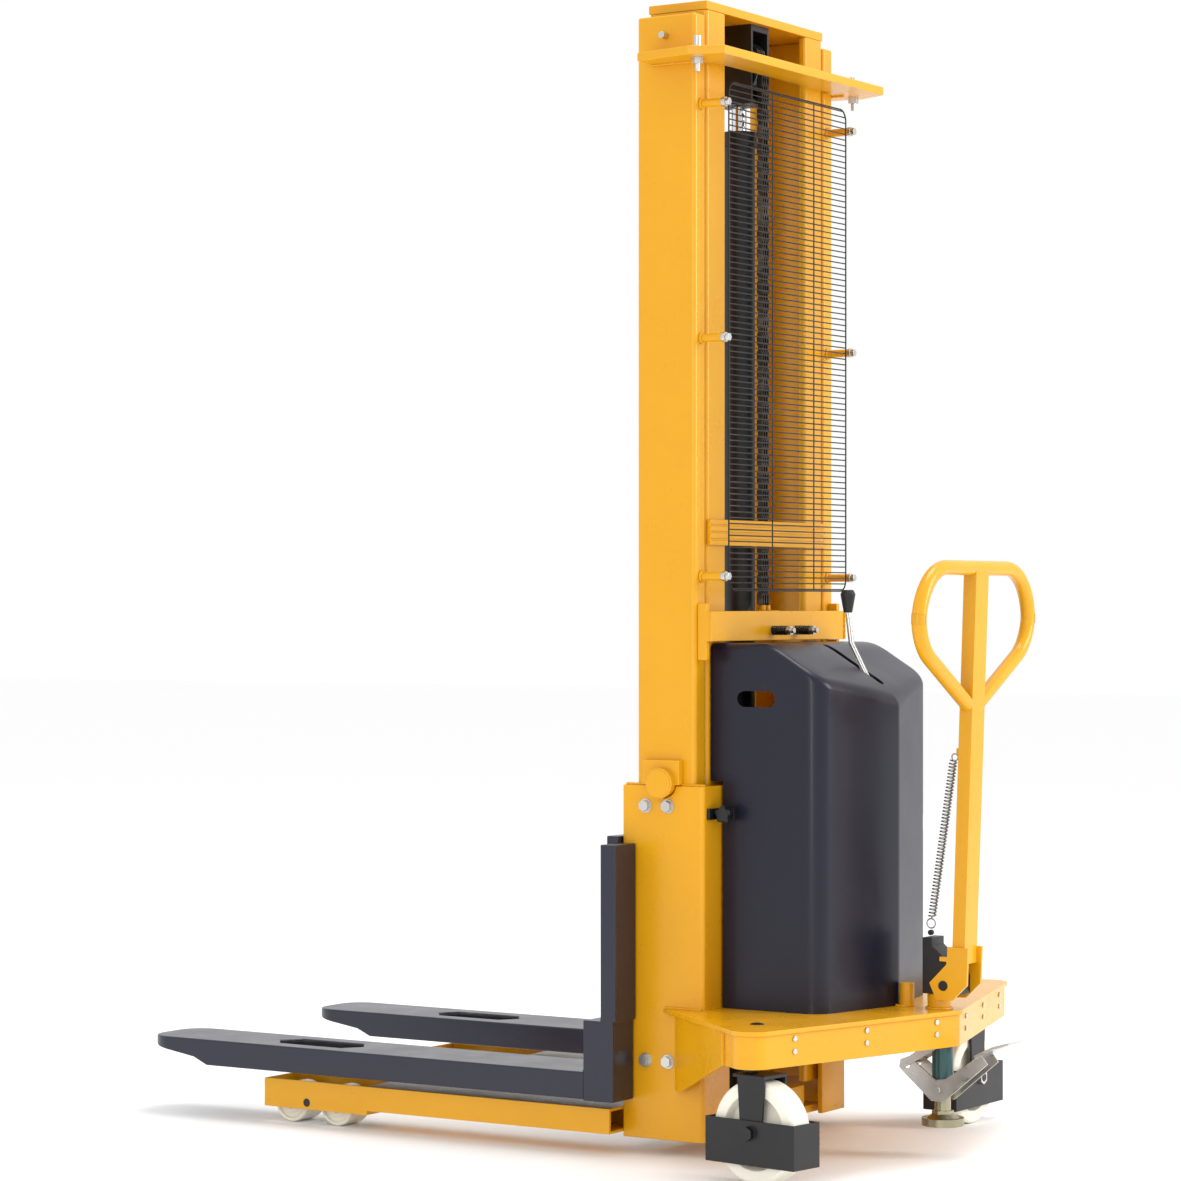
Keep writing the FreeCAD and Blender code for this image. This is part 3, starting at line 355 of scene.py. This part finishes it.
# ------------------------------------------------------- rolled-edge twins
WIDE = {"fork_left": 0.006, "fork_right": 0.006, "outer_mast_channels": 0.004, "inner_mast_channels": 0.003,
        "side_plates": 0.002, "base_plate": 0.0022, "base_skirt": 0.0015, "carriage_frame": 0.003, "straddle_legs": 0.003,
        "top_tie_plate": 0.0022, "inner_mast_head": 0.0022, "rear_cross_plate": 0.002, "caster_wheel_left": 0.0015,
        "caster_wheel_right": 0.0015, "handle_pivot_block": 0.003, "tow_handle": 0.0018, "skirt_rivets": 0.0028,
        "cover_screw_left": 0.002, "cover_screw_right": 0.002, "lever_knob": 0.0025, "control_lever": 0.0008,
        "caster_fork_left": 0.0012, "caster_fork_right": 0.0012, "battery": 0.004, "mast_brackets": 0.0018,
        "floor_lock_pedal": 0.0009, "floor_lock_link": 0.0008, "guard_clamp_bolts": 0.0008, "frame_bolts": 0.0010}
CUSTOM = {"wire_guard", "handle_spring", "adjuster_springs", "chain_front", "chain_rear", "rear_cover"}
for n in sorted(NODES):
    if n not in CUSTOM:
        refine(n, WIDE.get(n, 0.001))

# ----------------------------------------------------------------- wire guard
gx, gz0, gz1, gy = 0.224, 1.025, 1.949, -0.3975
parts = []
R = 0.022
def corner(cx, cz, a0):
    return [(cx + R * math.cos(a0 + math.pi / 2 * k / 8), gy, cz + R * math.sin(a0 + math.pi / 2 * k / 8)) for k in range(9)]
wr = 0.00145
ex = gx - wr - 0.0004
bord = corner(ex - R, gz1 - wr - R, 0) + corner(-ex + R, gz1 - wr - R, math.pi / 2) + corner(-ex + R, gz0 + wr + R, math.pi) + corner(ex - R, gz0 + wr + R, 1.5 * math.pi)
parts.append(tube(bord, wr, 10, True))
for i in range(86):
    z = gz0 + 0.0045 + (gz1 - gz0 - 0.009) * i / 85
    half = ex
    for zz in (gz0 + wr + R - z, z - (gz1 - wr - R)):
        if zz > 0:
            half = min(half, ex - R + math.sqrt(max(0.0, R * R - zz * zz)))
    dy = 0.0002 * math.sin(i * 1.7)
    parts.append(tube([(-half, gy + dy, z), (-half / 3, gy, z), (half / 3, gy - dy, z), (half, gy + dy, z)], 0.00125, 8))
for x in (-0.062, 0.096):
    parts.append(tube([(x, gy + 0.0001, gz0 + 0.002), (x, gy + 0.0001, gz1 - 0.002)], 0.00125, 8))
v, f = join(parts)
guard = mesh_obj("v_wire_guard", v, f, "dark_wire", 60)
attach(guard, "chassis")
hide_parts("wire_guard")


# -------------------------------------------------------------------- springs
def coil(a, b, radius, wire, turns, per=14, n=8):
    a, b = np.array(a, float), np.array(b, float)
    t = (b - a) / np.linalg.norm(b - a)
    u = np.cross(t, np.array([1.0, 0, 0]))
    u /= np.linalg.norm(u)
    w = np.cross(t, u)
    N = int(turns * per)
    L = np.linalg.norm(b - a)
    return tube([a + t * L * i / N + radius * (math.cos(2 * math.pi * i / per) * u + math.sin(2 * math.pi * i / per) * w) for i in range(N + 1)], wire, n)


p0, p1 = (0, -0.6957, 0.434), (0, -0.7385, 0.718)
parts = [coil(p0, p1, 0.0064, 0.0015, 46, 18, 8)]
parts.append(tube(circle((0, -0.6935, 0.4215), 0.0085, "x", 28), 0.0013, 8, True))
parts.append(tube(circle((0, -0.7415, 0.7245), 0.0062, "x", 28), 0.0013, 8, True))
parts.append(tube([(0, -0.6935, 0.430), (0.003, -0.695, 0.434), (0.0063, -0.6957, 0.4345)], 0.0012, 8))
v, f = join(parts)
hs = mesh_obj("v_handle_spring", v, f, "spring_steel", 60)
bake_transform(hs)
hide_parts("handle_spring")

parts = []
for x in (-0.026, 0.062):
    parts.append(coil((x, -0.379, 0.953), (x, -0.409, 0.953), 0.0075, 0.0014, 7, 20, 8))
v, f = join(parts)
asp = mesh_obj("v_adjuster_springs", v, f, "black_spring", 60)
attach(asp, "chassis")
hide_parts("adjuster_springs")


# --------------------------------------------------------------------- chains
def plate_link(c, t, x, length, height, thick):
    """One obround side plate; c is its middle (y, z), t its direction."""
    t = np.array(t)
    nrm = np.array([-t[1], t[0]])
    pts = []
    r = height / 2
    for sgn in (1, -1):
        for k in range(7):
            a = -math.pi / 2 + math.pi * k / 6
            pts.append(sgn * ((length / 2) * t + r * (math.cos(a) * t + math.sin(a) * nrm)))
    V = [(x + dx, c[0] + q[0], c[1] + q[1]) for dx in (-thick / 2, thick / 2) for q in pts]
    n = len(pts)
    F = [tuple(range(n)), tuple(range(2 * n - 1, n - 1, -1))]
    for i in range(n):
        j = (i + 1) % n
        F.append((i, i + n, j + n, j))
    return V, F


def chain(path_fn, total, pitch=0.0159):
    parts = []
    n = int(total / pitch)
    step = total / n
    for i in range(n):
        y, z, ty, tz = path_fn((i + 0.5) * step)
        xs = (-0.0125, -0.0045, 0.0045, 0.0125) if i % 2 == 0 else (-0.0085, 0.0, 0.0085)
        for x in xs:
            parts.append(plate_link((y, z), (ty, tz), x, step * 0.98, 0.0108, 0.0026))
        y, z, ty, tz = path_fn(i * step + 1e-6)
        parts.append(tube([(-0.0139, y, z), (0.0139, y, z)], 0.0024, 8))
    return join(parts)


cy, cz, cr = -0.291, 2.005, 0.05085
yr, yf = cy - cr, cy + cr
v, f = chain(lambda s: (yr, 1.004 + s, 0.0, 1.0), 1.001)
ch = mesh_obj("v_chain_rear", v, f, "chain_steel", 40)
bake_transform(ch)
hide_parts("chain_rear")
arc = math.pi * cr
def front_path(s):
    if s < arc:
        a = math.pi - s / cr
        return cy + cr * math.cos(a), cz + cr * math.sin(a), math.sin(a), -math.cos(a)
    return yf, cz - (s - arc), 0.0, -1.0
v, f = chain(front_path, arc + cz - 0.236)
ch = mesh_obj("v_chain_front", v, f, "chain_steel", 40)
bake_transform(ch)
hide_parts("chain_front")


# ---------------------------------------------------------------- rear cover
def smooth_chain(pts, radii, seg=10):
    """Polyline with rounded corners (open ends)."""
    out = [np.array(pts[0], float)]
    for i in range(1, len(pts) - 1):
        p, a, b = (np.array(pts[k], float) for k in (i, i - 1, i + 1))
        r = radii[i]
        da, db = (a - p) / np.linalg.norm(a - p), (b - p) / np.linalg.norm(b - p)
        half = math.acos(max(-1, min(1, float(np.dot(da, db))))) / 2
        t = r / math.tan(half)
        A, B = p + da * t, p + db * t
        bis = (da + db) / np.linalg.norm(da + db)
        C = p + bis * r / math.sin(half)
        va, vb = A - C, B - C
        ang = math.atan2(va[0] * vb[1] - va[1] * vb[0], float(np.dot(va, vb)))
        for k in range(seg + 1):
            q = ang * k / seg
            out.append(C + np.array([va[0] * math.cos(q) - va[1] * math.sin(q), va[0] * math.sin(q) + va[1] * math.cos(q)]))
    out.append(np.array(pts[-1], float))
    return out


def refine_poly(P, h):
    out = [P[0]]
    for a, b in zip(P[:-1], P[1:]):
        n = max(1, int(np.linalg.norm(b - a) / h))
        for k in range(1, n + 1):
            out.append(a + (b - a) * k / n)
    return out


TOPC = [(-0.344, 0.931), (-0.462, 0.931), (-0.487, 0.922), (-0.524, 0.899), (-0.560, 0.8775), (-0.591, 0.859), (-0.612, 0.842), (-0.630, 0.822)]
def top_z(y):
    ys = [-p[0] for p in TOPC]
    zs = [p[1] for p in TOPC]
    s = 0.0
    for d in (-0.012, -0.006, 0.0, 0.006, 0.012):
        s += float(np.interp(-y + d, ys, zs))
    return s / 5 - 0.0004
side = [(-0.2078, -0.3512), (-0.2078, -0.5778), (0.0, -0.6278), (0.2078, -0.5778), (0.2078, -0.3512)]
outline = refine_poly(smooth_chain(side, [0, 0.040, 0.022, 0.040, 0], 12), 0.012)
RT = 0.014
cen = np.array([0.0, -0.45])
def shell_ring(inset, z_of):
    out = []
    n = len(outline)
    for i, p in enumerate(outline):
        a, b = outline[max(0, i - 1)], outline[min(n - 1, i + 1)]
        t = (b - a) / np.linalg.norm(b - a)
        nrm = np.array([t[1], -t[0]])
        if np.dot(nrm, cen - p) < 0:
            nrm = -nrm
        if i in (0, n - 1):
            nrm = np.array([1.0 if p[0] < 0 else -1.0, 0.0])
        q = p + nrm * inset
        out.append((q[0], q[1], z_of(p[1] if inset < 1e-9 else q[1])))
    return out
V, F = [], []
rings = []
zl = [0.2684, 0.30, 0.36, 0.42, 0.48, 0.54, 0.60, 0.66, 0.72, 0.78, 0.80]
for z in zl:
    rings.append([(p[0], p[1], z) for p in outline])
rings.append([(p[0], p[1], (0.80 + top_z(p[1]) - RT) / 2) for p in outline])
for k in range(9):
    a = math.pi / 2 * k / 8
    d = RT * (1 - math.cos(a))
    base = shell_ring(d, lambda y: 0.0)
    rings.append([(q[0], q[1], top_z(q[1]) - RT + RT * math.sin(a)) for q in base])
n = len(outline)
for r in rings:
    V += r
for j in range(len(rings) - 1):
    for i in range(n - 1):
        F.append((j * n + i, j * n + i + 1, (j + 1) * n + i + 1, (j + 1) * n + i))
# top skin: strips across x between matching left and right points of the last ring
last = (len(rings) - 1) * n
half = n // 2
cols = 14
grid = {}
for i in range(half):
    a, b = V[last + i], V[last + n - 1 - i]
    grid[(i, 0)] = last + i
    grid[(i, cols)] = last + n - 1 - i
    for c in range(1, cols):
        x = a[0] + (b[0] - a[0]) * c / cols
        grid[(i, c)] = len(V)
        V.append((x, a[1], top_z(a[1])))
for i in range(half - 1):
    for c in range(cols):
        q = (grid[(i, c)], grid[(i, c + 1)], grid[(i + 1, c + 1)], grid[(i + 1, c)])
        if len(set(q)) == 4:
            F.append(q)
if n % 2:
    m_ = last + half
    tri = [grid[(half - 1, c)] for c in range(cols + 1)]
    for c in range(cols):
        F.append((tri[c], tri[c + 1], m_))
else:
    F.append(tuple(grid[(half - 1, c)] for c in range(cols + 1)))
# lower front edges step back to clear the side plates' flanges
cover = mesh_obj("v_rear_cover", V, F, "cover_satin", 50)
bm = bmesh.new()
bm.from_mesh(cover.data)
bmesh.ops.remove_doubles(bm, verts=bm.verts, dist=1e-5)
bmesh.ops.recalc_face_normals(bm, faces=bm.faces)
out_ok = sum(1 for fc in bm.faces if fc.normal.dot(fc.calc_center_median() - Vector((0, -0.45, 0.6))) > 0)
if out_ok < len(bm.faces) / 2:
    bmesh.ops.reverse_faces(bm, faces=bm.faces)
bm.to_mesh(cover.data)
bm.free()
sol = cover.modifiers.new("wall", "SOLIDIFY")
sol.thickness = 0.0038
sol.offset = -1.0


def cutter(verts2, axis, lo, hi):
    n = len(verts2)
    def pt(a, b, c):
        return {"x": (c, a, b), "z": (a, b, c), "y": (a, c, b)}[axis]
    V = [pt(a, b, lo) for a, b in verts2] + [pt(a, b, hi) for a, b in verts2]
    F = [tuple(range(n)), tuple(range(2 * n - 1, n - 1, -1))] + [(i, i + n, (i + 1) % n + n, (i + 1) % n) for i in range(n)]
    me = bpy.data.meshes.new("cut")
    me.from_pydata(V, [], F)
    fix_normals(me)
    o = bpy.data.objects.new("cut", me)
    COL.objects.link(o)
    return o


def obround(c0, c1, r, k=8):
    out = []
    for s, c in ((1, c1), (-1, c0)):
        for i in range(k + 1):
            a = -math.pi / 2 + math.pi * i / k
            out.append((c[0] + s * r * math.cos(a), c[1] + s * r * math.sin(a)))
    return out


cuts = [cutter(obround((-0.471, 0.830), (-0.421, 0.830), 0.0145), "x", -0.25, 0.25),
        cutter(obround((0.0, -0.587), (0.0, -0.478), 0.0085)[::1], "z", 0.80, 1.0),
        cutter([(-0.3, -0.3), (0.3, -0.3), (0.3, -0.3765), (-0.3, -0.3765)], "z", 0.2, 0.680)]
obr = cuts[1]
for vtx in obr.data.vertices:
    pass
# the lever slot runs along y, so its obround is rebuilt with x and y exchanged
slot2 = [(b, a) for a, b in obround((-0.587, 0.0), (-0.478, 0.0), 0.0085)]
bpy.data.objects.remove(obr)
cuts[1] = cutter(slot2, "z", 0.70, 1.0)
small = cutter([(b, a) for a, b in obround((0.581, 0.0), (0.601, 0.0), 0.009)], "y", -0.70, -0.54)
for vtx in small.data.vertices:
    vtx.co.x += 0.190
cuts.append(small)
for i, c in enumerate(cuts):
    md = cover.modifiers.new("cut%d" % i, "BOOLEAN")
    md.operation = "DIFFERENCE"
    md.solver = "EXACT"
    md.object = c
dg = bpy.context.evaluated_depsgraph_get()
me = bpy.data.meshes.new_from_object(cover.evaluated_get(dg))
cover.modifiers.clear()
cover.data = me
for c in cuts:
    bpy.data.objects.remove(c)
shade(cover, 45)
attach(cover, "chassis")
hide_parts("rear_cover")

# ----------------------------------------------------------------- weld beads
W = []
for s in (-1, 1):
    W.append((line((s * 0.2715, -0.370, 0.2693), (s * 0.2715, -0.292, 0.2693), 60), False))
    W.append((line((s * 0.2612, -0.371, 0.6735), (s * 0.2612, -0.204, 0.6735), 110), False))
    W.append((line((s * 0.2612, -0.372, 1.9830), (s * 0.2612, -0.258, 1.9830), 80), False))
    W.append((line((s * 0.2520, -0.3785, 0.9345), (s * 0.2520, -0.3785, 0.9885), 36), False))
    for z in (1.052, 1.484, 1.909):
        W.append((circle((s * 0.238, -0.351, z), 0.0085, "y", 30), True))
W.append((circle((0, -0.710, 0.2693), 0.0227, "z", 60), True))
W.append((circle((0, -0.639, 0.2693), 0.0147, "z", 44), True))
for s in (-1, 1):
    W.append((circle((s * 0.2865, -0.288, 0.677), 0.0257, "x", 60), True))
weld("weld_frame", W, "chassis")

W = []
for s in (-1, 1):
    a, b = s * 0.196, s * 0.342
    W.append((line((a, -0.1622, 0.1535), (b, -0.1622, 0.1535), 90), False))
    W.append((line((s * 0.277, -0.2005, 0.248), (s * 0.343, -0.2005, 0.248), 44), False))
weld("weld_carriage", W, "carriage", 0.0024, "navy_paint")

parts = []
for s in (-1, 1):
    prof = [(0.0, 0.0026), (0.005, 0.0025), (0.009, 0.0016), (0.0126, 0.0004), (0.0128, -0.0004)]
    V, F = [], []
    for r, h in prof[1:]:
        V += [(s * 0.387 + r * math.cos(a * math.pi / 16), -0.551 + r * math.sin(a * math.pi / 16), 0.2683 + h) for a in range(32)]
    for k in range(len(prof) - 2):
        F += [(k * 32 + a, k * 32 + (a + 1) % 32, (k + 1) * 32 + (a + 1) % 32, (k + 1) * 32 + a) for a in range(32)]
    F.append(tuple(range(31, -1, -1)))
    F.append(tuple(96 + a for a in range(32)))
    parts.append((V, F))
v, f = join(parts)
o = mesh_obj("plate_plugs", v, f, "black_plastic", 50)
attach(o, "chassis")

# ------------------------------------------------ bearings in the caster hubs
def ring_mesh(c, axis, r0, r1, half, n=48):
    c, ax = np.array(c, float), np.array(axis, float)
    ax /= np.linalg.norm(ax)
    u = np.cross(ax, [0, 0, 1.0])
    u /= np.linalg.norm(u)
    w = np.cross(ax, u)
    prof = [(r0, -half), (r0 + 0.0008, -half - 0.0006), (r1 - 0.0008, -half - 0.0006), (r1, -half), (r1, half), (r1 - 0.0008, half + 0.0006), (r0 + 0.0008, half + 0.0006), (r0, half)]
    V, F = [], []
    for i in range(n):
        a = 2 * math.pi * i / n
        d = math.cos(a) * u + math.sin(a) * w
        for r, h in prof:
            V.append(c + d * r + ax * h)
    m = len(prof)
    for i in range(n):
        j = (i + 1) % n
        for k in range(m):
            k2 = (k + 1) % m
            F.append((i * m + k, i * m + k2, j * m + k2, j * m + k))
    return V, F


for j in REC["behaviour"]["joints"]:
    if j["name"].endswith("_roll"):
        big = "caster" in j["name"]
        half_w = 0.0252 if big else 0.0312
        v, f = ring_mesh(j["pos_m"], j["axis"], 0.0086 if big else 0.0066, 0.0165 if big else 0.0125, half_w)
        o = mesh_obj("hub_bearing_" + j["child"], v, f, "roller_steel", 40)
        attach(o, j["child"])

# ------------------------------------------------------------ floor and light
fm, nt, p = new_mat("studio_floor")
p.inputs["Base Color"].default_value = (0.985, 0.985, 0.985, 1)
p.inputs["Roughness"].default_value = 0.9
p.inputs["Specular IOR Level"].default_value = 0.2
me = bpy.data.meshes.new("floor")
me.from_pydata([(-30, -30, -0.0005), (30, -30, -0.0005), (30, 30, -0.0005), (-30, 30, -0.0005)], [], [(0, 1, 2, 3)])
me.materials.append(fm)
floor = bpy.data.objects.new("studio_floor", me)
COL.objects.link(floor)

world = bpy.data.worlds.new("studio")
world.use_nodes = True
world.node_tree.nodes["Background"].inputs["Color"].default_value = (1.0, 1.0, 1.0, 1)
world.node_tree.nodes["Background"].inputs["Strength"].default_value = 1.0
bpy.context.scene.world = world


def area(name, loc, target, size, power, color=(1, 1, 1)):
    l = bpy.data.lights.new(name, "AREA")
    l.shape = "RECTANGLE"
    l.size, l.size_y = size
    l.energy = power
    l.color = color
    o = bpy.data.objects.new(name, l)
    o.location = loc
    d = Vector(target) - Vector(loc)
    o.rotation_mode = "QUATERNION"
    o.rotation_quaternion = d.to_track_quat("-Z", "Y")
    COL.objects.link(o)
    return o


area("key_rear", (1.6, -4.8, 2.6), (0, -0.3, 1.0), (1.6, 2.6), 120)
area("strip_left", (-4.2, -1.2, 1.6), (0, -0.4, 0.8), (0.35, 2.6), 26)
area("top", (0.4, -0.6, 5.0), (0, -0.3, 0.8), (2.0, 2.0), 80)

# --------------------------------------------------------------------- camera
cam = bpy.data.cameras.new("camera")
cam.lens = 105.9
cam.sensor_width = 36
cam.shift_y = 0.0123
co = bpy.data.objects.new("camera", cam)
co.location = (-5.655, -3.570, 1.0)
co.rotation_mode = "QUATERNION"
co.rotation_quaternion = Vector((0.84281, 0.53822, 0.0)).to_track_quat("-Z", "Y")
COL.objects.link(co)
bpy.context.scene.camera = co
